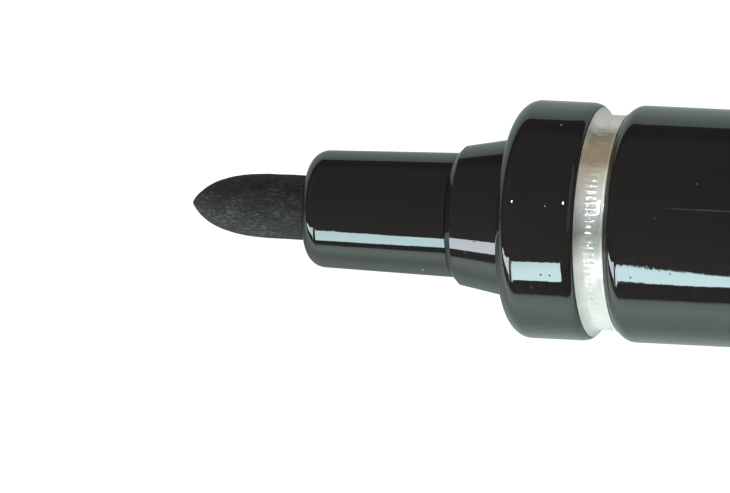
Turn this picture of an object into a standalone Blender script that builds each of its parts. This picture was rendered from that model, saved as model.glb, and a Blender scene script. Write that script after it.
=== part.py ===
"""Felt tip marker lying on a table, with its cap posted on the tail.

The pen's axis runs along X, with the nib towards -X. Stations along the pen are counted in
millimetres from the nib's point, and radii from the pen's axis. The origin is the centre of the
bottom of the bounding box, so the table is the plane Z = 0.
"""
import math

import bmesh
import bpy
from mathutils import Matrix, Vector

MM = 0.001  # lengths below are millimetres, and meshes are metres

# Driving dimensions
BARREL_RADIUS = 6.0
COLLAR_RADIUS = 6.03
NIB_RADIUS = 1.66
NIB_EXPOSED = 6.2
HOLDER_EXPOSED = 7.7
CONE_LENGTH = 3.0
COLLAR_LENGTH = 4.2
RING_VISIBLE = 1.53
BODY_LENGTH = 114.0
BOSS_LENGTH = 10.0
CAP_LENGTH = 36.0

# Fits
SEAM = 0.05  # gap between pieces that touch
RUNNING = 0.05  # radial clearance of the sliding cap
LOOSE = 0.3  # gap where nothing has to touch

# Stations from the nib's point
HOLDER_FRONT = NIB_EXPOSED
CONE_FRONT = HOLDER_FRONT + HOLDER_EXPOSED
COLLAR_FRONT = CONE_FRONT + CONE_LENGTH
COLLAR_REAR = COLLAR_FRONT + COLLAR_LENGTH
BARREL_FRONT = COLLAR_REAR + RING_VISIBLE
BOSS_FRONT = BODY_LENGTH
CAP_RIM = BODY_LENGTH + SEAM
CAP_END = BODY_LENGTH + CAP_LENGTH

# Nib
NIB_POINT_LENGTH = 5.4
NIB_SHOULDER = 3.55  # power that keeps the point's sides nearly parallel at its rear
NIB_SHARPNESS = 0.76  # power that narrows the very point: 0.5 is round, 1 is a cone
NIB_REAR = 36.0
NIB_TAIL_TAPER = 2.0

# Nib holder
HOLDER_FRONT_RADIUS = 2.98
HOLDER_REAR_RADIUS = 3.16
HOLDER_EDGE = 0.91
HOLDER_BORE = NIB_RADIUS + RUNNING
HOLDER_SPIGOT_RADIUS = 2.6
HOLDER_SPIGOT_REAR = 26.0
AIR_GROOVES = 4
AIR_GROOVE_WIDTH = 0.4
AIR_GROOVE_DEPTH = 0.25

# Front section
CONE_CHAMFER = 0.32
CONE_FRONT_RADIUS = 3.54
CONE_REAR_RADIUS = 4.05
COLLAR_EDGE_LENGTH = 1.04
COLLAR_EDGE_HEIGHT = 1.38
COLLAR_REAR_LENGTH = 0.55
COLLAR_REAR_HEIGHT = 0.22
SPIGOT_RADIUS = 4.2
SPIGOT_REAR = 29.0

# Clear ring
RING_RADIUS = 5.45
RING_FLANK_RADIUS = 5.81
RING_FLANK_LENGTH = 0.5
RING_SHOULDER = 25.1
RING_SLEEVE_RADIUS = 4.8
RING_REAR = 30.0

# Barrel
BARREL_BORE = RING_SLEEVE_RADIUS + SEAM
BARREL_EDGE_LENGTH = 0.97
BARREL_EDGE_HEIGHT = 1.25
BARREL_REAR = 112.0

# Ink reservoir
FILM_RADIUS = 4.65
FILM_THICKNESS = 0.12
RESERVOIR_FRONT = RING_REAR + LOOSE
RESERVOIR_REAR = 104.5

# Tail plug
PLUG_FRONT = 105.0
PLUG_BORE = 3.6
BOSS_RADIUS = CONE_REAR_RADIUS
BOSS_BORE = 2.9
BOSS_END_WALL = 1.2
BOSS_EDGE = 0.8
FLANGE_EDGE = 0.25

# Cap
CAP_RADIUS = COLLAR_RADIUS
CAP_MOUTH_BORE = 5.05
CAP_BORE = 4.8
CAP_STEP = 117.55
CAP_PLUG_SEAT = 142.5
CAP_SHELL_END = CAP_END - 1.0
CAP_RIM_EDGE = 0.25
CAP_END_EDGE = 0.5
SEAL_FRONT = 116.0
SEAL_GRIP_BORE = BOSS_RADIUS + RUNNING
SEAL_GRIP_RADIUS = 4.7
SEAL_GRIP_REAR = 126.0
SEAL_CUP_FRONT = 127.5
SEAL_CUP_BORE = 3.5
SEAL_CUP_RADIUS = 4.1
SEAL_CUP_REAR = 137.0
SEAL_END_WALL = 1.0
END_PLUG_FRONT = 143.0
END_PLUG_WALL = 0.8
END_PLUG_HEAD_RADIUS = 5.6
END_PLUG_HEAD_EDGE = 0.4
END_PLUG_HEAD = 1.0
VENTS = 3
VENT_RADIUS = 0.6
VENT_CIRCLE = 2.8

# Clip, drawn in its own plane: stations along the pen, heights from the pen's axis
CLIP_WIDTH = 3.6
CLIP_OUTSIDE = 8.2
CLIP_INSIDE = 7.1
CLIP_SEAT = 5.6
CLIP_FOOT_REAR = 146.5
CLIP_FOOT_LENGTH = 4.0
CLIP_TIP = 118.0
CLIP_BUMP_LENGTH = 3.0
CLIP_BUMP_HEIGHT = 6.15
CLIP_EDGE = 0.2

SIDES = 48
SMALL_SIDES = 32
EDGE_STEPS = 5
SHARP_ANGLE = math.radians(32)

# The clip leans on the table: the angle from straight down to the middle of the clip, and how far
# it reaches sideways. Its corner is round, about a centre given as (across, height).
CLIP_CORNER = Vector((CLIP_WIDTH / 2 - CLIP_EDGE, CLIP_OUTSIDE - CLIP_EDGE))
CLIP_ANGLE = (math.acos((COLLAR_RADIUS - CLIP_EDGE) / CLIP_CORNER.length)
              + math.atan2(CLIP_CORNER.x, CLIP_CORNER.y))
CLIP_REACH = (CLIP_CORNER.y * math.sin(CLIP_ANGLE) + CLIP_CORNER.x * math.cos(CLIP_ANGLE)
              + CLIP_EDGE)

# The pen's axis, seen from the origin
AXIS_Y = (CLIP_REACH - COLLAR_RADIUS) / 2
AXIS_Z = COLLAR_RADIUS
PEN_PLACE = (Matrix.Translation(Vector((-CAP_END / 2, AXIS_Y, AXIS_Z)) * MM)
             @ Matrix.Rotation(math.radians(90), 4, "Y"))
# Clip plane: X along the pen, Y across the clip, Z away from the pen's axis
CLIP_PLACE = (Matrix.Translation(Vector((-CAP_END / 2, AXIS_Y, AXIS_Z)) * MM)
              @ Matrix.Rotation(math.pi - CLIP_ANGLE, 4, "X"))


def clear_scene():
    """Start from an empty file."""
    for obj in list(bpy.data.objects):
        bpy.data.objects.remove(obj, do_unlink=True)


def collection(name):
    """A collection under the scene's own."""
    made = bpy.data.collections.new(name)
    bpy.context.scene.collection.children.link(made)
    return made


def material(name, colour, roughness, metallic=0.0):
    """A plain Principled material."""
    made = bpy.data.materials.new(name)
    made.use_nodes = True
    shader = made.node_tree.nodes["Principled BSDF"]
    shader.inputs["Base Color"].default_value = (*colour, 1.0)
    shader.inputs["Roughness"].default_value = roughness
    shader.inputs["Metallic"].default_value = metallic
    return made


def front_edge(station, radius, length, height, steps=EDGE_STEPS):
    """Quarter of an ellipse from a front face up to the outside at `radius`."""
    points = []
    for step in range(steps + 1):
        turn = math.radians(90) * step / steps
        points.append((station + length * (1 - math.cos(turn)), radius - height * (1 - math.sin(turn))))
    return points


def rear_edge(station, radius, length, height, steps=3):
    """Quarter of an ellipse from the outside at `radius` down to a rear face."""
    mirrored = front_edge(-station, radius, length, height, steps)
    return [(-s, r) for s, r in reversed(mirrored)]


def baked(obj):
    """Turn an object's modifiers into its mesh, shade it smooth and keep its corners sharp."""
    graph = bpy.context.evaluated_depsgraph_get()
    mesh = bpy.data.meshes.new_from_object(obj.evaluated_get(graph))
    obj.modifiers.clear()
    obj.data = mesh
    mesh.shade_smooth()
    mesh.set_sharp_from_angle(angle=SHARP_ANGLE)


def turned(name, outline, sides, home):
    """Turn an outline of (station, radius) points about the pen's axis.

    The outline runs from the front to the rear along the outside and back along the inside.
    A ring's outline is closed. A solid's starts and ends on the axis and stays open.
    """
    mesh = bpy.data.meshes.new(name)
    frame = bmesh.new()
    corners = [frame.verts.new((radius * MM, 0.0, station * MM)) for station, radius in reversed(outline)]
    for corner, following in zip(corners, corners[1:]):
        frame.edges.new((corner, following))
    if outline[0][1] > 0:
        frame.edges.new((corners[-1], corners[0]))
    frame.to_mesh(mesh)
    frame.free()
    obj = bpy.data.objects.new(name, mesh)
    home.objects.link(obj)
    screw = obj.modifiers.new("turn", "SCREW")
    screw.axis = "Z"
    screw.steps = sides
    screw.render_steps = sides
    screw.use_merge_vertices = True
    screw.merge_threshold = 0.000001
    obj.matrix_world = PEN_PLACE
    return obj


def cutter(name, mesh_frame, place, home):
    """A hidden solid to cut another piece with."""
    mesh = bpy.data.meshes.new(name)
    mesh_frame.to_mesh(mesh)
    mesh_frame.free()
    obj = bpy.data.objects.new(name, mesh)
    obj.matrix_world = place
    obj.hide_render = True
    obj.display_type = "WIRE"
    home.objects.link(obj)
    return obj


def cut(obj, tool):
    """Take the tool's shape out of the object."""
    boolean = obj.modifiers.new(tool.name, "BOOLEAN")
    boolean.operation = "DIFFERENCE"
    boolean.solver = "EXACT"
    boolean.object = tool


def box_frame(low, high):
    """A box between two corners, in millimetres."""
    frame = bmesh.new()
    bmesh.ops.create_cube(frame, size=1.0)
    low = Vector(low) * MM
    high = Vector(high) * MM
    for vert in frame.verts:
        vert.co = Vector([low[i] + (vert.co[i] + 0.5) * (high[i] - low[i]) for i in range(3)])
    return frame


def make_nib(home):
    """A fibre rod with a bullet point in front and a short taper behind."""
    steps = 10
    point = []
    for step in range(steps + 1):
        along = (step / steps) ** 1.6
        swell = (1 - (1 - along) ** NIB_SHOULDER) ** NIB_SHARPNESS
        point.append((NIB_POINT_LENGTH * along, NIB_RADIUS * swell))
    tail = [
        (NIB_REAR - NIB_TAIL_TAPER, NIB_RADIUS),
        (NIB_REAR, NIB_RADIUS / 2),
        (NIB_REAR, 0.0),
    ]
    return turned("nib", point + tail, SMALL_SIDES, home)


def make_nib_holder(home, tools):
    """A tube with a rounded mouth, a shoulder that stops on the cone, and air grooves in its bore."""
    outline = front_edge(HOLDER_FRONT, HOLDER_FRONT_RADIUS, HOLDER_EDGE, HOLDER_EDGE)
    outline += [
        (CONE_FRONT - SEAM, HOLDER_REAR_RADIUS),
        (CONE_FRONT - SEAM, HOLDER_SPIGOT_RADIUS),
        (HOLDER_SPIGOT_REAR, HOLDER_SPIGOT_RADIUS),
        (HOLDER_SPIGOT_REAR, HOLDER_BORE),
        (HOLDER_FRONT, HOLDER_BORE),
    ]
    holder = turned("nib_holder", outline, SMALL_SIDES, home)
    for index in range(AIR_GROOVES):
        frame = box_frame(
            (0.0, -AIR_GROOVE_WIDTH / 2, HOLDER_FRONT - 1),
            (HOLDER_BORE + AIR_GROOVE_DEPTH, AIR_GROOVE_WIDTH / 2, HOLDER_SPIGOT_REAR + 1),
        )
        spin = Matrix.Rotation(math.tau * (index + 0.5) / AIR_GROOVES, 4, "Z")
        cut(holder, cutter(f"air_groove_{index}", frame, PEN_PLACE @ spin, tools))
    return holder


def make_front_section(home):
    """Stepped cone and collar in one moulding, with a spigot that the clear ring grips."""
    outline = [
        (CONE_FRONT, HOLDER_SPIGOT_RADIUS + SEAM),
        (CONE_FRONT, HOLDER_REAR_RADIUS + SEAM),
        (CONE_FRONT + CONE_CHAMFER, CONE_FRONT_RADIUS),
        (COLLAR_FRONT, CONE_REAR_RADIUS),
    ]
    outline += front_edge(COLLAR_FRONT, COLLAR_RADIUS, COLLAR_EDGE_LENGTH, COLLAR_EDGE_HEIGHT)
    outline += rear_edge(COLLAR_REAR, COLLAR_RADIUS, COLLAR_REAR_LENGTH, COLLAR_REAR_HEIGHT)
    outline += [
        (COLLAR_REAR, SPIGOT_RADIUS),
        (SPIGOT_REAR, SPIGOT_RADIUS),
        (SPIGOT_REAR, HOLDER_SPIGOT_RADIUS + SEAM),
    ]
    return turned("front_section", outline, SIDES, home)


def make_clear_ring(home):
    """A bush between front section and barrel; its front stretch shows in the groove."""
    front = COLLAR_REAR + SEAM
    outline = [
        (front, SPIGOT_RADIUS + SEAM),
        (front, RING_FLANK_RADIUS),
        (front + RING_FLANK_LENGTH, RING_RADIUS),
        (RING_SHOULDER, RING_RADIUS),
        (RING_SHOULDER, RING_SLEEVE_RADIUS),
        (RING_REAR, RING_SLEEVE_RADIUS),
        (RING_REAR, SPIGOT_RADIUS + SEAM),
    ]
    return turned("clear_ring", outline, SIDES, home)


def make_barrel(home):
    """A plain tube; its rounded front edge ends at the counterbore that takes the clear ring."""
    mouth = RING_RADIUS + SEAM
    edge_front = BARREL_FRONT - BARREL_EDGE_LENGTH * (
        1 - math.sqrt(1 - (1 - (BARREL_RADIUS - mouth) / BARREL_EDGE_HEIGHT) ** 2))
    edge = front_edge(edge_front, BARREL_RADIUS, BARREL_EDGE_LENGTH, BARREL_EDGE_HEIGHT, 8)
    outline = [(BARREL_FRONT, mouth)]
    outline += [point for point in edge if point[1] > mouth + SEAM]
    outline += rear_edge(BARREL_REAR - SEAM, BARREL_RADIUS, FLANGE_EDGE, FLANGE_EDGE)
    outline += [
        (BARREL_REAR - SEAM, BARREL_BORE),
        (RING_SHOULDER + SEAM, BARREL_BORE),
        (RING_SHOULDER + SEAM, mouth),
    ]
    return turned("barrel", outline, SIDES, home)


def make_reservoir_core(home):
    """Fibre wadding with a blind hole where the nib's tail is pushed in."""
    radius = FILM_RADIUS - FILM_THICKNESS - SEAM
    hole = NIB_RADIUS + RUNNING
    outline = [
        (NIB_REAR + LOOSE, 0.0),
        (NIB_REAR + LOOSE, hole),
        (RESERVOIR_FRONT, hole),
        (RESERVOIR_FRONT, radius),
        (RESERVOIR_REAR, radius),
        (RESERVOIR_REAR, 0.0),
    ]
    return turned("reservoir_core", outline, SMALL_SIDES, home)


def make_reservoir_film(home):
    """The film wrapped round the wadding."""
    outline = [
        (RESERVOIR_FRONT, FILM_RADIUS - FILM_THICKNESS),
        (RESERVOIR_FRONT, FILM_RADIUS),
        (RESERVOIR_REAR, FILM_RADIUS),
        (RESERVOIR_REAR, FILM_RADIUS - FILM_THICKNESS),
    ]
    return turned("reservoir_film", outline, SMALL_SIDES, home)


def make_tail_plug(home):
    """A hollow plug: spigot in the barrel, flange flush with it, and a boss for the cap."""
    boss_end = BOSS_FRONT + BOSS_LENGTH
    outline = [
        (boss_end - BOSS_END_WALL, 0.0),
        (boss_end - BOSS_END_WALL, BOSS_BORE),
        (BOSS_FRONT, BOSS_BORE),
        (BOSS_FRONT - 1, PLUG_BORE),
        (PLUG_FRONT, PLUG_BORE),
        (PLUG_FRONT, RING_SLEEVE_RADIUS),
        (BARREL_REAR, RING_SLEEVE_RADIUS),
    ]
    outline += front_edge(BARREL_REAR, BARREL_RADIUS, FLANGE_EDGE, FLANGE_EDGE, 3)
    outline += rear_edge(BOSS_FRONT, BARREL_RADIUS, FLANGE_EDGE, FLANGE_EDGE)
    outline += [(BOSS_FRONT, BOSS_RADIUS)]
    outline += rear_edge(boss_end, BOSS_RADIUS, BOSS_EDGE, BOSS_EDGE)
    outline += [(boss_end, 0.0)]
    return turned("tail_plug", outline, SIDES, home)


def make_cap_shell(home, tools):
    """The cap's outer tube, with a step that stops the inner seal and a pocket for the clip."""
    outline = front_edge(CAP_RIM, CAP_RADIUS, CAP_RIM_EDGE, CAP_RIM_EDGE, 3)
    outline += rear_edge(CAP_SHELL_END, CAP_RADIUS, CAP_END_EDGE, CAP_END_EDGE)
    outline += [
        (CAP_SHELL_END, CAP_MOUTH_BORE),
        (CAP_PLUG_SEAT, CAP_MOUTH_BORE),
        (CAP_PLUG_SEAT, CAP_BORE),
        (CAP_STEP, CAP_BORE),
        (CAP_STEP, CAP_MOUTH_BORE),
        (CAP_RIM, CAP_MOUTH_BORE),
    ]
    shell = turned("cap_shell", outline, SIDES, home)
    half_pocket = CLIP_WIDTH / 2 + SEAM
    pocket = box_frame(
        (CLIP_FOOT_REAR - CLIP_FOOT_LENGTH - SEAM, -half_pocket, CLIP_SEAT - SEAM),
        (CLIP_FOOT_REAR + SEAM, half_pocket, CLIP_OUTSIDE),
    )
    cut(shell, cutter("clip_pocket", pocket, CLIP_PLACE, tools))
    return shell


def make_cap_inner_seal(home):
    """A cup open to the front: the wide stretch grips the boss or the cone, the narrow one the holder."""
    outline = [
        (SEAL_CUP_REAR - SEAL_END_WALL, 0.0),
        (SEAL_CUP_REAR - SEAL_END_WALL, SEAL_CUP_BORE),
        (SEAL_CUP_FRONT, SEAL_CUP_BORE),
        (SEAL_GRIP_REAR, SEAL_GRIP_BORE),
        (SEAL_FRONT + 0.5, SEAL_GRIP_BORE),
        (SEAL_FRONT, SEAL_GRIP_BORE + 0.3),
        (SEAL_FRONT, CAP_MOUTH_BORE - SEAM),
        (CAP_STEP - SEAM, CAP_MOUTH_BORE - SEAM),
        (CAP_STEP - SEAM, SEAL_GRIP_RADIUS),
        (SEAL_GRIP_REAR, SEAL_GRIP_RADIUS),
        (SEAL_CUP_FRONT, SEAL_CUP_RADIUS),
        (SEAL_CUP_REAR, SEAL_CUP_RADIUS),
        (SEAL_CUP_REAR, 0.0),
    ]
    return turned("cap_inner_seal", outline, SIDES, home)


def make_cap_end_plug(home, tools):
    """A hollow plug with a flat head and vent holes, pressed into the cap's far end."""
    spigot = CAP_MOUTH_BORE - SEAM
    head_front = CAP_SHELL_END + SEAM
    outline = [
        (head_front, 0.0),
        (head_front, spigot - END_PLUG_WALL),
        (END_PLUG_FRONT, spigot - END_PLUG_WALL),
        (END_PLUG_FRONT, spigot),
        (head_front, spigot),
        (head_front, END_PLUG_HEAD_RADIUS),
    ]
    outline += rear_edge(CAP_END, END_PLUG_HEAD_RADIUS, END_PLUG_HEAD_EDGE, END_PLUG_HEAD_EDGE)
    outline += [(CAP_END, 0.0)]
    plug = turned("cap_end_plug", outline, SIDES, home)
    for index in range(VENTS):
        frame = bmesh.new()
        middle = (CAP_END - END_PLUG_HEAD / 2) * MM
        bmesh.ops.create_cone(
            frame, cap_ends=True, segments=16, radius1=VENT_RADIUS * MM, radius2=VENT_RADIUS * MM,
            depth=3 * END_PLUG_HEAD * MM, matrix=Matrix.Translation((VENT_CIRCLE * MM, 0.0, middle)))
        spin = Matrix.Rotation(math.tau * (index + 0.5) / VENTS, 4, "Z")
        cut(plug, cutter(f"vent_{index}", frame, PEN_PLACE @ spin, tools))
    return plug


def make_clip(home):
    """A springy arm on a foot, with a bump that presses on the cap; it bends about the foot's heel."""
    foot_front = CLIP_FOOT_REAR - CLIP_FOOT_LENGTH
    side = [
        (CLIP_FOOT_REAR, CLIP_SEAT),
        (CLIP_FOOT_REAR, CLIP_OUTSIDE - 0.8),
        (CLIP_FOOT_REAR - 0.8, CLIP_OUTSIDE),
        (CLIP_TIP + 1.0, CLIP_OUTSIDE),
        (CLIP_TIP, CLIP_OUTSIDE - 0.5),
        (CLIP_TIP, CLIP_INSIDE),
        (CLIP_TIP + CLIP_BUMP_LENGTH / 3, CLIP_BUMP_HEIGHT),
        (CLIP_TIP + CLIP_BUMP_LENGTH * 2 / 3, CLIP_BUMP_HEIGHT),
        (CLIP_TIP + CLIP_BUMP_LENGTH, CLIP_INSIDE),
        (foot_front - 0.8, CLIP_INSIDE),
        (foot_front, CLIP_INSIDE - 0.6),
        (foot_front, CLIP_SEAT),
    ]
    heel = Vector((CLIP_FOOT_REAR, 0.0, CLIP_SEAT)) * MM
    curve = bpy.data.curves.new("clip", "CURVE")
    curve.dimensions = "2D"
    curve.fill_mode = "BOTH"
    curve.extrude = CLIP_WIDTH / 2 * MM
    spline = curve.splines.new("POLY")
    spline.points.add(len(side) - 1)
    for point, (station, height) in zip(spline.points, side):
        point.co = (station * MM - heel.x, height * MM - heel.z, 0.0, 1.0)
    spline.use_cyclic_u = True
    clip = bpy.data.objects.new("clip", curve)
    home.objects.link(clip)
    weld = clip.modifiers.new("weld", "WELD")
    weld.merge_threshold = 0.000001
    bevel = clip.modifiers.new("edges", "BEVEL")
    bevel.width = CLIP_EDGE * MM
    bevel.segments = 2
    bevel.limit_method = "ANGLE"
    bevel.angle_limit = math.radians(60)

    pivot = bpy.data.objects.new("clip_pivot", None)
    home.objects.link(pivot)
    pivot.matrix_world = CLIP_PLACE @ Matrix.Translation(heel)
    clip.parent = pivot
    clip.rotation_euler = (math.radians(90), 0.0, 0.0)
    return clip


def main():
    clear_scene()
    home = collection("felt_tip_marker")
    tools = collection("cutters")

    black = material("black_gloss_plastic", (0.012, 0.011, 0.010), 0.12)
    felt = material("inked_felt", (0.030, 0.031, 0.033), 0.85)
    clear = material("natural_plastic", (0.62, 0.62, 0.58), 0.25)
    wadding = material("inked_wadding", (0.020, 0.020, 0.024), 0.9)
    film = material("clear_film", (0.70, 0.70, 0.68), 0.2)
    white = material("white_seal_plastic", (0.75, 0.75, 0.73), 0.35)

    pieces = [
        (make_nib(home), felt),
        (make_nib_holder(home, tools), black),
        (make_front_section(home), black),
        (make_clear_ring(home), clear),
        (make_barrel(home), black),
        (make_reservoir_core(home), wadding),
        (make_reservoir_film(home), film),
        (make_tail_plug(home), black),
        (make_cap_shell(home, tools), black),
        (make_cap_inner_seal(home), white),
        (make_cap_end_plug(home, tools), black),
        (make_clip(home), black),
    ]
    for piece, finish in pieces:
        if piece.type == "MESH":
            baked(piece)
        piece.data.materials.append(finish)


main()
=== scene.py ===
"""Looks of the felt tip marker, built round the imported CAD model."""

import math

import bmesh
import bpy
from mathutils import Matrix, Vector, noise


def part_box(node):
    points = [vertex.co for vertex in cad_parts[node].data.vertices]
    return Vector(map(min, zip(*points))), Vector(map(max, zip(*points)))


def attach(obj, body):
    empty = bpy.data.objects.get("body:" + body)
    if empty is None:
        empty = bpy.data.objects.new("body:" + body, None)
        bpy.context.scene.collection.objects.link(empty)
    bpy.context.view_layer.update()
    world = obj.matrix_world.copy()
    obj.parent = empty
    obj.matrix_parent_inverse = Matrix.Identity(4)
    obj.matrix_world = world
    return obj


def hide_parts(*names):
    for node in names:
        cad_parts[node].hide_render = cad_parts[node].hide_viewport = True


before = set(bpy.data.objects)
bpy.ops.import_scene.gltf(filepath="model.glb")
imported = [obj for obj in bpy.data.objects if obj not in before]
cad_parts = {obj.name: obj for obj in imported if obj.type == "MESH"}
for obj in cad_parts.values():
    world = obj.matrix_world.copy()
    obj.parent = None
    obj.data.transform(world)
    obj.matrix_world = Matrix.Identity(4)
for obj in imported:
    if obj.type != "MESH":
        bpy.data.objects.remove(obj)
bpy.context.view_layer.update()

MM = 0.001  # stations and radii are millimetres along and from the pen's axis; the frame is metres


# ---------------------------------------------------------------- places, read from the CAD boxes

def middle(node):
    low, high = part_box(node)
    return (low + high) / 2


TIP = Vector((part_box("nib")[0].x, middle("barrel").y, middle("barrel").z))  # the nib's point


def front(node):
    """Station of a node's front end."""
    return (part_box(node)[0].x - TIP.x) / MM


def rear(node):
    """Station of a node's rear end."""
    return (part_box(node)[1].x - TIP.x) / MM


def radius(node):
    """Largest radius of a turned node."""
    low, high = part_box(node)
    return (high.z - low.z) / 2 / MM


def place(station):
    """The point of the pen's axis at a station, in metres."""
    return TIP + Vector((station, 0.0, 0.0)) * MM


# ---------------------------------------------------------------- turned shapes

def front_edge(station, outside, length, height, steps=14):
    """Quarter of an ellipse from a front face, at the station, up to the outside."""
    points = []
    for step in range(steps + 1):
        turn = math.radians(90) * step / steps
        points.append((station + length * (1 - math.cos(turn)), outside - height * (1 - math.sin(turn))))
    return points


def rear_edge(station, outside, length, height, steps=8):
    """Quarter of an ellipse from the outside down to a rear face, at the station."""
    return [(-s, r) for s, r in reversed(front_edge(-station, outside, length, height, steps))]


HOLD = 0.03  # how close to a corner a holding point lies


def held(outline):
    """The outline with a point close to each end of every long straight stretch, so that the
    smooth shading of a rounded edge doesn't spread along the straight."""
    points = [outline[0]]
    for (s0, r0), (s1, r1) in zip(outline, outline[1:]):
        length = math.hypot(s1 - s0, r1 - r0)
        if length > 6 * HOLD:
            for share in (HOLD / length, 1 - HOLD / length):
                points.append((s0 + (s1 - s0) * share, r0 + (r1 - r0) * share))
        points.append((s1, r1))
    return points


SHARP = 34  # degrees between faces above which an edge looks sharp


def turned(name, outline, finish, sides=192, relief=None, sharp=SHARP):
    """A piece turned about the pen's axis. The outline is a closed loop round the wall's section, or
    starts and ends on the axis. relief(station, radius, turn) gives a local change of radius."""
    shape = bmesh.new()
    rings = []
    for station, reach in outline:
        if reach == 0:
            rings.append([shape.verts.new((station * MM, 0.0, 0.0))])
            continue
        ring = []
        for side in range(sides):
            turn = math.tau * side / sides
            r = reach + relief(station, reach, turn) if relief else reach
            ring.append(shape.verts.new((station * MM, r * MM * math.cos(turn), r * MM * math.sin(turn))))
        rings.append(ring)
    if outline[0][1] > 0:
        rings.append(rings[0])
    for ring, following in zip(rings, rings[1:]):
        for side in range(sides):
            after = (side + 1) % sides
            corners = [ring[side % len(ring)], ring[after % len(ring)],
                       following[after % len(following)], following[side % len(following)]]
            if len(ring) == 1:
                del corners[1]
            elif len(following) == 1:
                del corners[3]
            shape.faces.new(corners)
    bmesh.ops.recalc_face_normals(shape, faces=shape.faces)
    mesh = bpy.data.meshes.new(name)
    shape.to_mesh(mesh)
    shape.free()
    mesh.shade_smooth()
    mesh.set_sharp_from_angle(angle=math.radians(sharp))
    mesh.materials.append(finish)
    piece = bpy.data.objects.new(name, mesh)
    piece.location = TIP
    bpy.context.scene.collection.objects.link(piece)
    return piece


def stand_in(piece, body, node):
    """The piece rides on a body and stands for a CAD node."""
    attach(piece, body)
    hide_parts(node)


# ---------------------------------------------------------------- materials

def shader_of(material):
    material.use_nodes = True
    return material.node_tree.nodes["Principled BSDF"]


def node(owner, kind, **settings):
    """A node in a material or a world, with its properties set, and its inputs by their names."""
    made = owner.node_tree.nodes.new(kind)
    for key, value in settings.items():
        if hasattr(made, key):
            setattr(made, key, value)
        else:
            made.inputs[key.replace("_", " ")].default_value = value
    return made


def wire(owner, source, target):
    owner.node_tree.links.new(source, target)


def computed(owner, operation, *values):
    """The output of a Math node; each value is a number or another node's output."""
    made = node(owner, "ShaderNodeMath", operation=operation)
    for socket, value in zip(made.inputs, values):
        if isinstance(value, bpy.types.NodeSocket):
            wire(owner, value, socket)
        else:
            socket.default_value = value
    return made.outputs[0]


def object_axes(owner):
    """The X, Y and Z outputs of a place in the piece's own space."""
    coordinates = node(owner, "ShaderNodeTexCoord")
    split = node(owner, "ShaderNodeSeparateXYZ")
    wire(owner, coordinates.outputs["Object"], split.inputs[0])
    return split.outputs


def stretched_noise(material, stretch, scale, detail=4.0):
    """Noise in the piece's own space, in 1/m, drawn out along the pen when stretch[0] is small."""
    coordinates = node(material, "ShaderNodeTexCoord")
    mapping = node(material, "ShaderNodeMapping")
    mapping.inputs["Scale"].default_value = stretch
    texture = node(material, "ShaderNodeTexNoise", Scale=scale, Detail=detail)
    wire(material, coordinates.outputs["Object"], mapping.inputs["Vector"])
    wire(material, mapping.outputs["Vector"], texture.inputs["Vector"])
    return texture.outputs["Fac"]


def ramp(material, source, stops):
    """A colour ramp with (position, grey or colour) stops."""
    made = node(material, "ShaderNodeValToRGB")
    elements = made.color_ramp.elements
    while len(elements) < len(stops):
        elements.new(0.5)
    for element, (position, colour) in zip(elements, stops):
        element.position = position
        element.color = (*colour, 1.0) if isinstance(colour, tuple) else (colour, colour, colour, 1.0)
    wire(material, source, made.inputs["Fac"])
    return made.outputs["Color"]


def scattered_dots(material, cells, profile, chance):
    """Round dots from a Voronoi pattern with that many cells a metre. profile is a dot's strength from
    its middle outwards, and chance the two values between which a cell's own value lets its dot show."""
    coordinates = node(material, "ShaderNodeTexCoord")
    pattern = node(material, "ShaderNodeTexVoronoi", Scale=cells)
    wire(material, coordinates.outputs["Object"], pattern.inputs["Vector"])
    dot = ramp(material, pattern.outputs["Distance"], profile)
    hidden, shown = chance
    chosen = ramp(material, pattern.outputs["Color"], [(0.0, 0.0), (hidden, 0.0), (shown, 1.0)])
    return computed(material, "MULTIPLY", dot, chosen)


def bump(material, source, distance, before=None):
    """The normal of a relief that high, in metres, on top of the relief before."""
    made = node(material, "ShaderNodeBump", Strength=1.0, Distance=distance)
    wire(material, source, made.inputs["Height"])
    if before:
        wire(material, before, made.inputs["Normal"])
    return made.outputs["Normal"]


DUST_COLOUR = (0.22, 0.22, 0.21, 1.0)
WAVE_HEIGHT = 2.1e-6  # reliefs of the surfaces, in metres
RIPPLE_HEIGHT = 0.3e-6
GRIT_HEIGHT = 6e-6
DUST_HEIGHT = 10e-6
FELT_HEIGHT = 30e-6
GRAIN_HEIGHT = 4e-6
WADDING_HEIGHT = 50e-6


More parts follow.
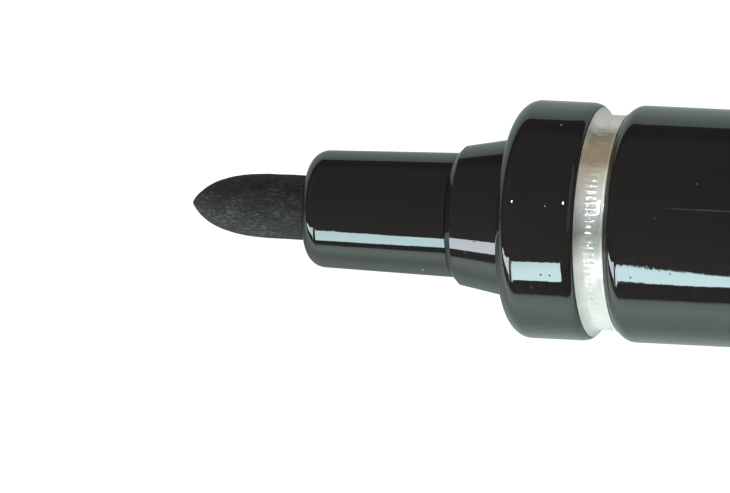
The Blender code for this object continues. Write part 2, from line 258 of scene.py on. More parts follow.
def gloss_black():
    """Polished black moulding: faint ripple, handling smudges in the roughness, grit and dust."""
    material = bpy.data.materials.new("black_gloss")
    shader = shader_of(material)
    dust = scattered_dots(material, 650.0, [(0.0, 1.0), (0.035, 0.7), (0.0525, 0.0)], (0.62, 0.70))
    grit = scattered_dots(material, 2400.0, [(0.0, 1.0), (0.13, 0.0)], (0.52, 0.56))
    tint = ramp(material, stretched_noise(material, (1, 1, 1), 180.0),
                [(0.3, (0.0080, 0.0070, 0.0062)), (0.7, (0.0104, 0.0092, 0.0082))])
    colour = node(material, "ShaderNodeMix", data_type="RGBA")
    wire(material, dust, colour.inputs[0])
    wire(material, tint, colour.inputs[6])
    colour.inputs[7].default_value = DUST_COLOUR
    wire(material, colour.outputs[2], shader.inputs["Base Color"])
    smudge = ramp(material, stretched_noise(material, (0.5, 1, 1), 260.0), [(0.35, 0.015), (0.75, 0.04)])
    wire(material, smudge, shader.inputs["Roughness"])
    relief = bump(material, stretched_noise(material, (0.6, 1, 1), 1500.0, 2.0), WAVE_HEIGHT)
    relief = bump(material, stretched_noise(material, (1, 1, 1), 5200.0, 2.0), RIPPLE_HEIGHT, relief)
    relief = bump(material, grit, GRIT_HEIGHT, relief)
    relief = bump(material, dust, DUST_HEIGHT, relief)
    wire(material, relief, shader.inputs["Normal"])
    shader.inputs["IOR"].default_value = 1.5
    return material


FIBRE_SHARE = 0.66  # how much of the felt's mottling is single fibres; the rest is patches
# dark tones of the inked felt, and a light grey that paints highlights on single fibres
FELT_TONES_AND_PAINTED_GLINTS = [(0.38, (0.014, 0.0138, 0.0125)), (0.52, (0.020, 0.0198, 0.0182)),
              (0.66, (0.066, 0.066, 0.064))]


def inked_felt():
    """Bonded fibre soaked with black ink: grey streaks and flecks along the nib, partly the felt's own
    mottling and partly painted highlights on its fibres, and a dull surface.
    """
    material = bpy.data.materials.new("inked_felt")
    shader = shader_of(material)
    fibres = stretched_noise(material, (0.35, 1, 1), 11000.0, 5.0)
    patches = stretched_noise(material, (0.6, 1, 1), 1200.0, 3.0)
    mottling = computed(material, "MULTIPLY_ADD", fibres, FIBRE_SHARE,
                        computed(material, "MULTIPLY", patches, 1 - FIBRE_SHARE))
    # the lighter flecks are partly painted highlights on the fibres
    wire(material, ramp(material, mottling, FELT_TONES_AND_PAINTED_GLINTS), shader.inputs["Base Color"])
    wire(material, bump(material, mottling, FELT_HEIGHT), shader.inputs["Normal"])
    shader.inputs["Roughness"].default_value = 0.8
    shader.inputs["Specular IOR Level"].default_value = 0.35
    return material


def round_the_axis(material, wobble):
    """Share of the half circle from the front of the pen, over its top, to its back; wobble makes it
    uneven."""
    axes = object_axes(material)
    turn = computed(material, "ARCTAN2", axes["Z"], computed(material, "MULTIPLY", axes["Y"], -1.0))
    share = computed(material, "MULTIPLY", turn, 1 / math.pi)
    cloud = stretched_noise(material, (1, 1, 1), 1500.0, 2.0)
    uneven = computed(material, "MULTIPLY_ADD", cloud, wobble, share)
    return computed(material, "SUBTRACT", uneven, wobble / 2)


# uneven edges of the painted light and shade bands on the clear ring
PAINTED_BAND_WOBBLE = 0.05


def natural_plastic(name, colour, scatter, roughness, painted_light_bands=None):
    """Unpigmented plastic: milky, glossy, with cloudy spots. painted_light_bands are (angle, tint) round the
    axis, in degrees from the front: painted light and shade multiplied into the colour."""
    material = bpy.data.materials.new(name)
    shader = shader_of(material)
    cloud = stretched_noise(material, (1, 1, 1), 900.0, 3.0)
    darker = tuple(channel * 0.86 for channel in colour)
    tone = ramp(material, cloud, [(0.3, darker), (0.7, colour)])
    # painted light and shade: the colour is multiplied by tints set by the angle round the axis
    if painted_light_bands:
        stops = [(angle / 180, tint) for angle, tint in painted_light_bands]
        mixed = node(material, "ShaderNodeMix", data_type="RGBA", blend_type="MULTIPLY")
        mixed.inputs[0].default_value = 1.0
        wire(material, tone, mixed.inputs[6])
        wire(material, ramp(material, round_the_axis(material, PAINTED_BAND_WOBBLE), stops), mixed.inputs[7])
        tone = mixed.outputs[2]
    wire(material, tone, shader.inputs["Base Color"])
    grain = stretched_noise(material, (1, 1, 1), 6000.0, 2.0)
    wire(material, bump(material, grain, GRAIN_HEIGHT), shader.inputs["Normal"])
    shader.inputs["Roughness"].default_value = roughness
    shader.inputs["Subsurface Weight"].default_value = 1.0 if scatter else 0.0
    shader.inputs["Subsurface Radius"].default_value = (1.0, 0.95, 0.8)
    shader.inputs["Subsurface Scale"].default_value = scatter
    return material


def wadding():
    """Ink-soaked fibre filling."""
    material = bpy.data.materials.new("inked_wadding")
    shader = shader_of(material)
    fibres = stretched_noise(material, (0.1, 1, 1), 4000.0)
    wire(material, ramp(material, fibres, [(0.3, 0.01), (0.7, 0.05)]), shader.inputs["Base Color"])
    wire(material, bump(material, fibres, WADDING_HEIGHT), shader.inputs["Normal"])
    shader.inputs["Roughness"].default_value = 0.9
    return material


# Painted light and shade on the clear ring: tints by angle over the pen, in degrees from the front edge; low
# tints are painted shade, high ones painted highlights and reflections
RING_PAINTED_LIGHT_AND_SHADE = [(0.0, (0.62, 0.61, 0.58)), (25.0, (0.67, 0.65, 0.62)), (44.0, (0.84, 0.81, 0.78)),
              (52.0, (0.60, 0.60, 0.56)), (60.0, (0.33, 0.36, 0.31)), (67.0, (0.50, 0.51, 0.50)),
              (75.0, (0.86, 0.85, 0.83)), (84.0, (0.96, 0.93, 0.90)), (94.0, (0.88, 0.83, 0.72)),
              (101.0, (0.57, 0.48, 0.38)), (110.0, (0.60, 0.51, 0.36)), (120.0, (0.42, 0.38, 0.32)),
              (131.0, (1.0, 0.95, 0.95)), (150.0, (0.80, 0.78, 0.75))]

BLACK = gloss_black()
FELT = inked_felt()
# the clear ring's colour carries painted light and shade by angle round the axis
CLEAR = natural_plastic("natural_plastic", (0.80, 0.80, 0.79), 0.0002, 0.07, RING_PAINTED_LIGHT_AND_SHADE)
SEAL = natural_plastic("white_seal", (0.80, 0.80, 0.77), 0.0008, 0.35)
FILM = natural_plastic("wrap_film", (0.72, 0.72, 0.70), 0.0, 0.15)
WADDING = wadding()


# ---------------------------------------------------------------- nib and nose

NIB_POINT_LENGTH = 5.4
NIB_SHOULDER = 3.55  # power that keeps the point's sides nearly parallel at its rear
NIB_SHARPNESS = 0.76  # power that narrows the very point: 0.5 is round, 1 is a cone
NIB_CROWDING = 1.6  # power that brings the rings of the mesh closer together at the point
NIB_FIBRES = 0.02  # room left for the raised fibres
NIB_BARE = 0.8  # radius of the point below which the fibres fade out
BUNDLE_HEIGHT = 0.018
STRAND_HEIGHT = 0.012
NIB_HIDDEN = 1.0  # how far the fine shape goes on inside the holder
NIB_TAIL = 2.0  # length of the cone at its rear end
HOLDER_DRAFT = 0.18  # how much slimmer the holder is at its mouth
HOLDER_EDGE = 0.91
HOLDER_BORE = radius("nib") + 0.05
HOLDER_SPIGOT = 2.6
SEAM = 0.05
CONE_CHAMFER = 0.32
CONE_FRONT_RADIUS = 3.54
CONE_REAR_RADIUS = 4.05
CONE_LENGTH = 3.0
COLLAR_EDGE = (1.12, 1.38)  # length and height of the rounded front edge
COLLAR_REAR_EDGE = (0.55, 0.22)
SPIGOT = 4.2
RING_RADIUS = 5.45
RING_FLANK = 0.5
RING_LIP = 0.09  # height of the thin lip against the barrel's mouth
RING_LIP_GAPS = (0.14, 0.10, 0.03)  # from the lip's front, its top and its rear to the mouth
RING_SHOULDER = 25.1
RING_SLEEVE = 4.8
RIBS = 108
RIB_STEP = 0.03  # spacing of the mesh along the ribs
RIB_STEPS = 26
BARREL_EDGE = (0.97, 1.25)  # cut off by the mouth, where the ring begins
BARREL_REAR_EDGE = 0.25
BARREL_BORE = RING_SLEEVE + SEAM


def fibre_relief(station, reach, turn):
    """Raised fibre bundles along the nib, fading out at its very point."""
    bundles = noise.noise(Vector((math.cos(turn) * 9, math.sin(turn) * 9, station * 1.3)))
    strands = noise.noise(Vector((math.cos(turn) * 26, math.sin(turn) * 26, station * 3.1)))
    return (BUNDLE_HEIGHT * bundles + STRAND_HEIGHT * strands) * min(1.0, reach / NIB_BARE)


def make_nib():
    shaped = front("nib_holder") + NIB_HIDDEN
    size = radius("nib")
    reach = size - NIB_FIBRES
    steps = 150
    outline = []
    for step in range(steps + 1):
        station = shaped * (step / steps) ** NIB_CROWDING
        share = min(1.0, station / NIB_POINT_LENGTH)
        outline.append((station, reach * (1 - (1 - share) ** NIB_SHOULDER) ** NIB_SHARPNESS))
    outline += [(rear("nib") - NIB_TAIL, reach), (rear("nib"), size / 2), (rear("nib"), 0.0)]
    piece = turned("felt_nib", outline, FELT, sides=220, relief=fibre_relief, sharp=80)
    stand_in(piece, "pen", "nib")


def make_nib_holder():
    mouth = front("nib_holder")
    step = front("front_section") - SEAM
    size = radius("nib_holder")
    outline = [(mouth, HOLDER_BORE)]
    outline += front_edge(mouth, size - HOLDER_DRAFT, HOLDER_EDGE, HOLDER_EDGE)
    outline += [(step, size), (step, HOLDER_SPIGOT), (rear("nib_holder"), HOLDER_SPIGOT),
                (rear("nib_holder"), HOLDER_BORE), (mouth, HOLDER_BORE)]
    piece = turned("nib_holder_tube", held(outline)[:-1], BLACK)
    stand_in(piece, "pen", "nib_holder")


def make_front_section():
    step = front("front_section")
    size = radius("front_section")
    collar_rear = front("clear_ring") - SEAM
    collar_front = step + CONE_LENGTH
    bore = HOLDER_SPIGOT + SEAM
    outline = [(step, bore), (step, radius("nib_holder") + SEAM),
               (step + CONE_CHAMFER, CONE_FRONT_RADIUS), (collar_front, CONE_REAR_RADIUS)]
    outline += front_edge(collar_front, size, *COLLAR_EDGE)
    outline += rear_edge(collar_rear, size, *COLLAR_REAR_EDGE)
    outline += [(collar_rear, SPIGOT), (rear("front_section"), SPIGOT), (rear("front_section"), bore),
                (step, bore)]
    piece = turned("nose_cone_and_collar", held(outline)[:-1], BLACK)
    stand_in(piece, "pen", "front_section")


RIBS_FRONT = front("clear_ring") + 0.35
RIBS_REAR = RIBS_FRONT + 0.7
RIB_DEPTH = 0.030


def rib_relief(station, reach, turn):
    """Fine lengthwise ribs on the outside of the clear ring, uneven as moulded."""
    if reach < RING_RADIUS or not RIBS_FRONT < station < RIBS_REAR:
        return 0.0
    uneven = 0.8 + 1.1 * noise.noise(Vector((math.cos(turn) * 14, math.sin(turn) * 14, station * 5.0)))
    fade = math.sin(math.pi * (station - RIBS_FRONT) / (RIBS_REAR - RIBS_FRONT)) ** 0.4
    return -RIB_DEPTH * uneven * fade * (1 - math.cos(turn * RIBS)) / 2


def make_clear_ring():
    start = front("clear_ring")
    bore = SPIGOT + SEAM
    outline = [(start, bore), (start, radius("clear_ring"))]
    steps = 12
    for step in range(1, steps + 1):
        along = step / steps
        fall = (radius("clear_ring") - RING_RADIUS) * (1 - along) ** 2
        outline.append((start + RING_FLANK * along, RING_RADIUS + fall))
    outline += [(start + RING_FLANK + RIB_STEP * step, RING_RADIUS) for step in range(1, RIB_STEPS + 1)]
    lip_front, lip_top, lip_rear = [front("barrel") - gap for gap in RING_LIP_GAPS]
    outline += [(lip_front, RING_RADIUS + RING_LIP * 0.6), (lip_top, RING_RADIUS + RING_LIP),
                (lip_rear, RING_RADIUS + RING_LIP), (lip_rear, RING_RADIUS)]
    outline += [(RING_SHOULDER, RING_RADIUS), (RING_SHOULDER, RING_SLEEVE),
                (rear("clear_ring"), RING_SLEEVE), (rear("clear_ring"), bore), (start, bore)]
    piece = turned("clear_neck_ring", held(outline)[:-1], CLEAR, sides=RIBS * 8, relief=rib_relief, sharp=50)
    stand_in(piece, "pen", "clear_ring")


def make_barrel():
    start = front("barrel")
    size = radius("barrel")
    end = rear("barrel")
    mouth = RING_RADIUS + SEAM
    shoulder = RING_SHOULDER + SEAM
    length, height = BARREL_EDGE
    edge_start = start - length * (1 - math.sqrt(1 - (1 - (size - mouth) / height) ** 2))
    edge = front_edge(edge_start, size, length, height, 24)
    outline = [(start, mouth)]
    outline += [point for point in edge if point[1] > mouth + 0.01]
    outline += rear_edge(end, size, BARREL_REAR_EDGE, BARREL_REAR_EDGE)
    outline += [(end, BARREL_BORE), (shoulder, BARREL_BORE), (shoulder, mouth), (start, mouth)]
    piece = turned("barrel_tube", held(outline)[:-1], BLACK)
    stand_in(piece, "pen", "barrel")


# ---------------------------------------------------------------- tail and cap

FLANGE_EDGE = 0.25
PLUG_BORE = 3.6
BOSS_BORE = 2.9
BOSS_END_WALL = 1.2
BOSS_EDGE = 0.8
CAP_MOUTH_BORE = 5.05
CAP_BORE = 4.8
CAP_RIM_EDGE = 0.25
CAP_END_EDGE = 0.5
SEAL_RADIUS = 4.7
SEAL_CUP_RADIUS = 4.1
SEAL_CUP_BORE = 3.5
SEAL_CONE = (126.0, 127.5)  # where the seal narrows from its wide stretch to the cup
SEAL_LEAD_IN = (0.5, 0.3)  # length and height of the funnel at its mouth
END_WALL = 1.0  # thickness of the seal cup's end
SEAL_STEP = 117.5
PLUG_HEAD = 0.95  # thickness of the end plug's head
PLUG_HEAD_EDGE = 0.4
PLUG_SPIGOT = 5.0
PLUG_WALL = 0.8
PLUG_CLEARANCE = 0.5
PLUG_BORE_STEP = 1.0  # length of the taper from the tail plug's bore to the boss's
VENTS = 3
VENT_RADIUS = 0.6
VENT_CIRCLE = 2.8
CLIP_LEAN = 55.7  # degrees from straight down, towards the front: the pen lies on its clip
CLIP_WIDTH = 3.58
CLIP_TOP = 8.19
CLIP_ARM = 7.1  # height of the arm's underside
CLIP_TIP = 7.0  # and of its tip's
CLIP_SEAT = 5.6
CLIP_FOOT = 4.0  # length of the foot
CLIP_BUMP = 5.8  # height of the bump's corner, before it is rounded
CLIP_BUMP_PLACE = (1.5, 3.2)  # where the bump is lowest and where it ends, from the clip's tip
CLIP_ROUNDING = [0, 1.1, 0.8, 0.25, 1.0, 0.8, 0.8, 0]  # corner by corner, from the foot's heel
CLIP_EDGE = 0.2


def make_tail_plug():
    flange = rear("barrel") + SEAM
    shoulder = front("cap_shell") - SEAM
    end = rear("tail_plug")
    size = radius("tail_plug")
    outline = [(end - BOSS_END_WALL, 0.0), (end - BOSS_END_WALL, BOSS_BORE), (shoulder, BOSS_BORE),
               (shoulder - PLUG_BORE_STEP, PLUG_BORE), (front("tail_plug"), PLUG_BORE),
               (front("tail_plug"), RING_SLEEVE), (flange, RING_SLEEVE)]
    outline += front_edge(flange, size, FLANGE_EDGE, FLANGE_EDGE, 6)
    outline += rear_edge(shoulder, size, FLANGE_EDGE, FLANGE_EDGE)
    outline += [(shoulder, CONE_REAR_RADIUS)]
    outline += rear_edge(end, CONE_REAR_RADIUS, BOSS_EDGE, BOSS_EDGE)
    outline += [(end, 0.0)]
    stand_in(turned("tail_plug_and_boss", held(outline), BLACK), "pen", "tail_plug")


def carved(piece, cutters):
    """Takes the cutters' volumes out of the piece."""
    for cutter in cutters:
        hole = piece.modifiers.new("hole", "BOOLEAN")
        hole.object = cutter
        hole.solver = "EXACT"
    bpy.context.view_layer.update()
    mesh = bpy.data.meshes.new_from_object(piece.evaluated_get(bpy.context.evaluated_depsgraph_get()))
    piece.modifiers.clear()
    piece.data = mesh
    mesh.set_sharp_from_angle(angle=math.radians(SHARP))
    for cutter in cutters:
        bpy.data.objects.remove(cutter)


CLIP_TURN = Matrix.Rotation(math.radians(180 - CLIP_LEAN), 4, "X")  # from heights along Z to its place


def block(low, high):
    """A plain box between two corners, used as a cutter in the clip's own plane."""
    shape = bmesh.new()
    bmesh.ops.create_cube(shape, size=1.0)
    for vert in shape.verts:
        vert.co = Vector([low[i] + (vert.co[i] + 0.5) * (high[i] - low[i]) for i in range(3)]) * MM
    mesh = bpy.data.meshes.new("cutter")
    shape.to_mesh(mesh)
    shape.free()
    obj = bpy.data.objects.new("cutter", mesh)
    obj.matrix_world = Matrix.Translation(TIP) @ CLIP_TURN
    bpy.context.scene.collection.objects.link(obj)
    return obj


def make_cap_shell():
    rim = front("cap_shell")
    end = rear("cap_shell")
    size = radius("cap_shell")
    seat = front("cap_end_plug") - PLUG_CLEARANCE
    step = SEAL_STEP + SEAM
    outline = front_edge(rim, size, CAP_RIM_EDGE, CAP_RIM_EDGE, 6)
    outline += rear_edge(end, size, CAP_END_EDGE, CAP_END_EDGE)
    outline += [(end, CAP_MOUTH_BORE), (seat, CAP_MOUTH_BORE), (seat, CAP_BORE), (step, CAP_BORE),
                (step, CAP_MOUTH_BORE), (rim, CAP_MOUTH_BORE), outline[0]]
    piece = turned("cap_tube", held(outline)[:-1], BLACK)
    half = CLIP_WIDTH / 2 + SEAM
    heel = rear("clip")
    carved(piece, [block((heel - CLIP_FOOT - SEAM, -half, CLIP_SEAT - SEAM), (heel + SEAM, half, CLIP_TOP))])
    stand_in(piece, "cap", "cap_shell")


def make_cap_inner_seal():
    mouth = front("cap_inner_seal")
    end = rear("cap_inner_seal")
    grip = CONE_REAR_RADIUS + SEAM
    narrow, cup = SEAL_CONE
    length, height = SEAL_LEAD_IN
    flange = CAP_MOUTH_BORE - SEAM
    outline = [(end - END_WALL, 0.0), (end - END_WALL, SEAL_CUP_BORE), (cup, SEAL_CUP_BORE), (narrow, grip),
               (mouth + length, grip), (mouth, grip + height), (mouth, flange), (SEAL_STEP, flange),
               (SEAL_STEP, SEAL_RADIUS), (narrow, SEAL_RADIUS), (cup, SEAL_CUP_RADIUS),
               (end, SEAL_CUP_RADIUS), (end, 0.0)]
    stand_in(turned("cap_seal_cup", held(outline), SEAL), "cap", "cap_inner_seal")


def make_cap_end_plug():
    start = front("cap_end_plug")
    end = rear("cap_end_plug")
    head = end - PLUG_HEAD
    size = radius("cap_end_plug")
    bore = PLUG_SPIGOT - PLUG_WALL
    outline = [(head, 0.0), (head, bore), (start, bore), (start, PLUG_SPIGOT), (head, PLUG_SPIGOT),
               (head, size)]
    outline += rear_edge(end, size, PLUG_HEAD_EDGE, PLUG_HEAD_EDGE)
    outline += [(end, 0.0)]
    piece = turned("cap_vented_end", held(outline), BLACK)
    drills = []
    rod = [(head - 1, 0.0), (head - 1, VENT_RADIUS), (end + 1, VENT_RADIUS), (end + 1, 0.0)]
    for index in range(VENTS):
        drill = turned("drill", rod, BLACK, sides=48)
        spin = Matrix.Rotation(math.tau * (index + 0.5) / VENTS, 4, "X")
        drill.matrix_world = Matrix.Translation(TIP) @ spin @ Matrix.Translation((0, 0, VENT_CIRCLE * MM))
        drills.append(drill)
    carved(piece, drills)
    stand_in(piece, "cap", "cap_end_plug")


def rounded(corners, reaches, steps=6):
    """A closed outline with each corner replaced by a curve that starts that reach away from it."""
    points = []
    for index, (corner, reach) in enumerate(zip(corners, reaches)):
        corner = Vector(corner)
        before = Vector(corners[index - 1])
        after = Vector(corners[(index + 1) % len(corners)])
        if reach == 0:
            points.append(corner)
            continue
        start = corner + (before - corner).normalized() * reach
        end = corner + (after - corner).normalized() * reach
        for step in range(steps + 1):
            t = step / steps
            points.append(start * (1 - t) ** 2 + corner * 2 * t * (1 - t) + end * t ** 2)
    return points


def make_clip():
    heel = rear("clip")
    tip = front("clip")
    foot = heel - CLIP_FOOT
    lowest, bump_end = [tip + distance for distance in CLIP_BUMP_PLACE]
    corners = [(heel, CLIP_SEAT), (heel, CLIP_TOP), (tip, CLIP_TOP), (tip, CLIP_TIP),
               (lowest, CLIP_BUMP), (bump_end, CLIP_ARM), (foot, CLIP_ARM), (foot, CLIP_SEAT)]
    outline = rounded(corners, CLIP_ROUNDING)
    shape = bmesh.new()
    verts = [shape.verts.new((point.x * MM, -CLIP_WIDTH / 2 * MM, point.y * MM)) for point in outline]
    side = shape.faces.new(verts)
    swept = bmesh.ops.extrude_face_region(shape, geom=[side])["geom"]
    for vert in swept:
        if isinstance(vert, bmesh.types.BMVert):
            vert.co.y += CLIP_WIDTH * MM
    bmesh.ops.recalc_face_normals(shape, faces=shape.faces)
    rims = [edge for edge in shape.edges if edge.calc_face_angle() > math.radians(60)]
    bmesh.ops.bevel(shape, geom=rims, offset=CLIP_EDGE * MM, segments=4, profile=0.5, affect="EDGES",
                    clamp_overlap=False)
    mesh = bpy.data.meshes.new("clip_arm")
    shape.to_mesh(mesh)
    shape.free()
    mesh.transform(CLIP_TURN)
    mesh.shade_smooth()
    mesh.set_sharp_from_angle(angle=math.radians(SHARP))
    mesh.materials.append(BLACK)
    piece = bpy.data.objects.new("clip_arm", mesh)
    piece.location = TIP
    bpy.context.scene.collection.objects.link(piece)
    stand_in(piece, "clip", "clip")


for make in (make_nib, make_nib_holder, make_front_section, make_clear_ring, make_barrel, make_tail_plug,
             make_cap_shell, make_cap_inner_seal, make_cap_end_plug, make_clip):
    make()

for name, finish in (("reservoir_core", WADDING), ("reservoir_film", FILM)):
    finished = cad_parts[name].data.materials
    finished.clear()
    finished.append(finish)


# ---------------------------------------------------------------- camera

YAW = math.radians(13.39)  # towards the cap's end, away from square on
ELEVATION = math.radians(67)
ROLL = math.radians(2.81)  # the pen runs down to the right
DISTANCE = 1016.0  # from the nib's point
PICTURE_WIDTH = 37.09  # at the nib's point
AIM_RIGHT = 8.74  # from the nib's point to the picture's centre, across the picture and down it
AIM_DOWN = 2.25
SENSOR = 36.0


def make_camera():
    back = Vector((math.sin(YAW), -math.cos(YAW) * math.cos(ELEVATION), math.cos(YAW) * math.sin(ELEVATION)))
    level = (Vector((1, 0, 0)) - back * back.x).normalized()
    above = back.cross(level)
    right = level * math.cos(ROLL) + above * math.sin(ROLL)
    up = back.cross(right)
    aim = TIP + right * AIM_RIGHT * MM - up * AIM_DOWN * MM
    camera = bpy.data.cameras.new("camera")
    camera.lens = SENSOR * DISTANCE / PICTURE_WIDTH
    camera.sensor_width = SENSOR
    camera.clip_start = 0.01
    camera.clip_end = 20.0
    obj = bpy.data.objects.new("camera", camera)
    bpy.context.scene.collection.objects.link(obj)
    turn = Matrix((right, up, back)).transposed().to_4x4()
    obj.matrix_world = Matrix.Translation(aim + back * DISTANCE * MM) @ turn
    bpy.context.scene.camera = obj


make_camera()


# ---------------------------------------------------------------- floor and light

def glowing(name, colour, strength):
    """A material that only gives light."""
    material = bpy.data.materials.new(name)
    material.use_nodes = True
    material.node_tree.nodes.clear()
    glow = node(material, "ShaderNodeEmission", Strength=strength, name="glow")
    glow.inputs["Color"].default_value = (*colour, 1.0)
    out = node(material, "ShaderNodeOutputMaterial")
    wire(material, glow.outputs[0], out.inputs["Surface"])
    return material


def shade_glow(material, strength):
    """Lets a node's output set how strongly the material glows."""
    wire(material, strength, material.node_tree.nodes["glow"].inputs["Strength"])


def studio_sheet(name, corners, quads, location, material):
    """A thin glowing sheet of the studio, with its corners in millimetres from the location."""
    mesh = bpy.data.meshes.new(name)
    mesh.from_pydata([Vector(corner) * MM for corner in corners], [], quads)
    mesh.materials.append(material)
    obj = bpy.data.objects.new(name, mesh)
    obj.location = location
    bpy.context.scene.collection.objects.link(obj)
    obj.visible_shadow = False
    return obj


def level_sheet(name, left, right, near, far, height, material):
    """A level sheet about the pen's front end; near is on the viewer's side of it, at negative distances."""
    corners = [(left, near, height), (right, near, height), (right, far, height), (left, far, height)]
    return studio_sheet(name, corners, [(0, 1, 2, 3)], (TIP.x, TIP.y, 0.0), material)


def window(name, corners, material):
    """An upright sheet that the camera doesn't see, through pairs of low and high corners."""
    quads = [(low, low + 2, low + 3, low + 1) for low in range(0, len(corners) - 2, 2)]
    studio_sheet(name, corners, quads, TIP, material).visible_camera = False


# Brightness of the table top as the pen mirrors it, by distance behind the pen: the table ends close in
# front, is brightest there, carries a painted shadow of the pen below it, and is dimmer behind
TABLE_NEAR = -60.0
TABLE_FAR = 140.0  # the brightness is even from here to the table's end
TABLE_GLOW_AND_PAINTED_SHADOW = [(-60.0, 0.0), (-52.0, 0.25), (-46.0, 1.6), (-38.0, 2.3), (-22.0, 2.3), (-15.0, 1.55),
              (-11.0, 1.05), (-7.0, 0.9), (-3.0, 0.35), (4.0, 0.35), (12.0, 0.55), (24.0, 0.8), (60.0, 0.88),
              (140.0, 0.82)]
TABLE_LEFT = -500.0
TABLE_RIGHT = 700.0
TABLE_END = 1200.0
TABLE_HEIGHT = -0.5
FLOOR_REACH = 9000.0


def make_floor():
    """A white floor that only the camera sees, and the table top that the pen mirrors."""
    white = glowing("pale_floor", (1.0, 1.0, 1.0), 1.15)
    floor = level_sheet("floor", -FLOOR_REACH, FLOOR_REACH, -FLOOR_REACH, FLOOR_REACH, 0.0, white)
    floor.visible_glossy = False
    floor.visible_diffuse = False

    shaded = glowing("table_top", (0.80, 1.0, 0.96), 1.0)
    share = node(shaded, "ShaderNodeMapRange", From_Min=TABLE_NEAR * MM, From_Max=TABLE_FAR * MM)
    wire(shaded, object_axes(shaded)["Y"], share.inputs["Value"])
    brightest = max(level for distance, level in TABLE_GLOW_AND_PAINTED_SHADOW)
    stops = [((distance - TABLE_NEAR) / (TABLE_FAR - TABLE_NEAR), level / brightest)
             for distance, level in TABLE_GLOW_AND_PAINTED_SHADOW]
    # the glow is lowered below the pen: a painted shadow
    shade_glow(shaded, computed(shaded, "MULTIPLY", ramp(shaded, share.outputs[0], stops), brightest))
    table = level_sheet("table_top", TABLE_LEFT, TABLE_RIGHT, TABLE_NEAR, TABLE_END, TABLE_HEIGHT, shaded)
    table.visible_camera = False


# Outline of the front window: the span of angles mirrored by each station of the straight sides
WINDOW_DISTANCE = 600.0
WINDOW_SPANS = [(-30.0, 1.2, 24.5), (-18.0, 1.2, 24.0), (-8.0, 1.2, 20.5), (3.0, 4.8, 21.4),
                (12.0, 4.8, 23.2), (20.6, 4.8, 24.8), (23.4, 9.2, 26.6), (24.8, 7.8, 23.5),
                (26.9, 6.8, 20.8), (28.9, 7.8, 19.2), (38.0, 5.0, 13.0)]

# The front window glows less towards its left, where the holder mirrors it; places are in metres
WINDOW_FADE = {"From_Min": -0.134, "From_Max": -0.122, "To_Min": 14.6, "To_Max": 18.0}

# Columns of the side window, which the cone and the rounded edges mirror: x, y, and the angles of its lower
# and upper edge above the pen's axis
SIDE_WINDOW = [(-320.0, -600.0, -5.0, 25.5), (-350.0, -600.0, 5.5, 25.5), (-440.0, -600.0, 5.5, 25.0),
               (-600.0, -600.0, 6.0, 20.0), (-600.0, -260.0, 4.0, 14.0)]


def make_front_window():
    """The window in front of the pen: its reflection is the bright strip along the straight sides."""
    daylight = glowing("window_front", (0.72, 0.97, 1.0), 1.0)
    fade = node(daylight, "ShaderNodeMapRange", **WINDOW_FADE)
    wire(daylight, object_axes(daylight)["X"], fade.inputs["Value"])
    shade_glow(daylight, fade.outputs[0])
    corners = []
    for station, *span in WINDOW_SPANS:
        lean = math.asin(math.sin(YAW) - (station - AIM_RIGHT) / DISTANCE)
        for angle in span:
            slope = math.radians(angle)
            sideways = WINDOW_DISTANCE * math.tan(lean) / math.cos(slope)
            corners.append((station - sideways, -WINDOW_DISTANCE, WINDOW_DISTANCE * math.tan(slope)))
    window("window_front", corners, daylight)


def make_side_window():
    side = glowing("window_side", (0.86, 0.94, 1.0), 13.0)
    corners = []
    for x, y, *span in SIDE_WINDOW:
        corners += [(x, y, abs(y) * math.tan(math.radians(angle))) for angle in span]
    window("window_side", corners, side)


DAYLIGHT_FROM = Vector((-0.25, -1.0, -0.05))
DAYLIGHT_SPREAD = math.radians(30)
PANEL_HEIGHT = 900.0
PANEL_SIDE = 600.0  # to each side of the pen
PANEL_LEFT = 350.0
PANEL_RIGHT = 1200.0


def make_soft_light():
    """Daylight on what is dull, and a ceiling panel to the right."""
    sun = bpy.data.lights.new("daylight", "SUN")
    sun.energy = 1.4
    sun.angle = DAYLIGHT_SPREAD
    sun.color = (0.97, 1.0, 1.03)
    sky = bpy.data.objects.new("daylight", sun)
    sky.rotation_euler = DAYLIGHT_FROM.to_track_quat("Z", "Y").to_euler()
    sky.visible_glossy = False
    bpy.context.scene.collection.objects.link(sky)

    ceiling = glowing("ceiling_panel", (1.0, 1.0, 0.98), 0.7)
    panel = level_sheet("ceiling_panel", PANEL_LEFT, PANEL_RIGHT, -PANEL_SIDE, PANEL_SIDE, PANEL_HEIGHT,
                        ceiling)
    panel.visible_camera = False


# Small lamps overhead, for glints: how far each leans towards the nib, its radius in metres, its power in
# watts, and the piece it lights
LAMP_HEIGHT = math.radians(83)
LAMP_DISTANCE = 0.6
LAMP_AIM = 20.0  # station that they hang over
LAMPS = [("lamp_front", -0.40, 0.012, 2.0, "nose_cone_and_collar"),
         ("lamp_rear", -0.10, 0.012, 2.0, "nose_cone_and_collar"),
         ("lamp_ring", -0.22, 0.080, 9.0, "clear_neck_ring"),
         ("lamp_barrel", -0.203, 0.004, 0.001, "barrel_tube")]


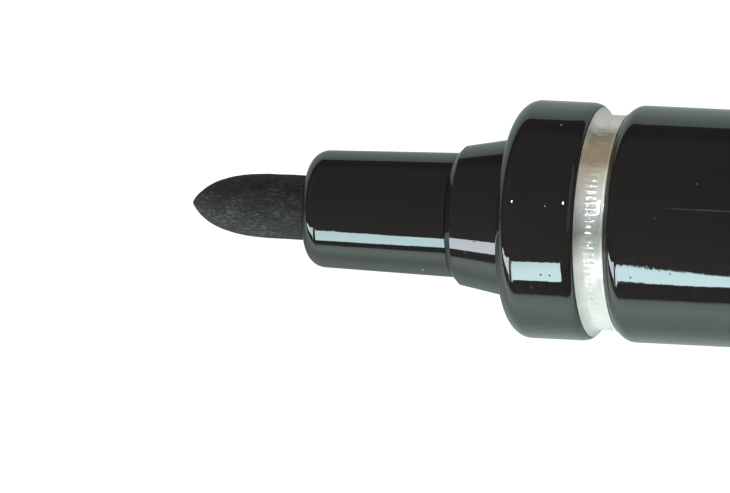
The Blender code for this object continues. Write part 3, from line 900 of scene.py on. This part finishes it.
def make_lamps():
    for name, lean, reach, watts, lit in LAMPS:
        receivers = bpy.data.collections.new(name + "_lights")
        receivers.objects.link(bpy.data.objects[lit])
        lamp = bpy.data.lights.new(name, "POINT")
        lamp.energy = watts
        lamp.shadow_soft_size = reach
        obj = bpy.data.objects.new(name, lamp)
        obj.visible_diffuse = False
        bpy.context.scene.collection.objects.link(obj)
        away = Vector((lean, -math.cos(LAMP_HEIGHT), math.sin(LAMP_HEIGHT))).normalized()
        obj.location = place(LAMP_AIM) + away * LAMP_DISTANCE
        obj.light_linking.receiver_collection = receivers


ROOM_SEEN = (1.0, 1.0, 1.0, 1.0)
ROOM_LIGHT = (0.70, 0.69, 0.66, 1.0)  # what reaches dull surfaces
HORIZON = {"From_Min": 0.25, "From_Max": 0.45, "To_Min": 0.10, "To_Max": 0.24}  # by the sine of the height


def make_world():
    """Pale to the camera, dim to everything that mirrors it and darkest along the horizon."""
    world = bpy.data.worlds.new("surroundings")
    bpy.context.scene.world = world
    world.use_nodes = True
    path = node(world, "ShaderNodeLightPath")
    direction = node(world, "ShaderNodeTexCoord")
    split = node(world, "ShaderNodeSeparateXYZ")
    wire(world, direction.outputs["Generated"], split.inputs[0])
    climb = node(world, "ShaderNodeMapRange", **HORIZON)
    wire(world, split.outputs["Z"], climb.inputs["Value"])
    mirrored = node(world, "ShaderNodeMix", data_type="RGBA")
    wire(world, path.outputs["Is Glossy Ray"], mirrored.inputs[0])
    mirrored.inputs[6].default_value = ROOM_LIGHT
    wire(world, climb.outputs[0], mirrored.inputs[7])
    seen = node(world, "ShaderNodeMix", data_type="RGBA")
    wire(world, path.outputs["Is Camera Ray"], seen.inputs[0])
    wire(world, mirrored.outputs[2], seen.inputs[6])
    seen.inputs[7].default_value = ROOM_SEEN
    wire(world, seen.outputs[2], world.node_tree.nodes["Background"].inputs["Color"])


make_floor()
make_front_window()
make_side_window()
make_soft_light()
make_lamps()
make_world()
bpy.context.scene.view_settings.view_transform = "Standard"
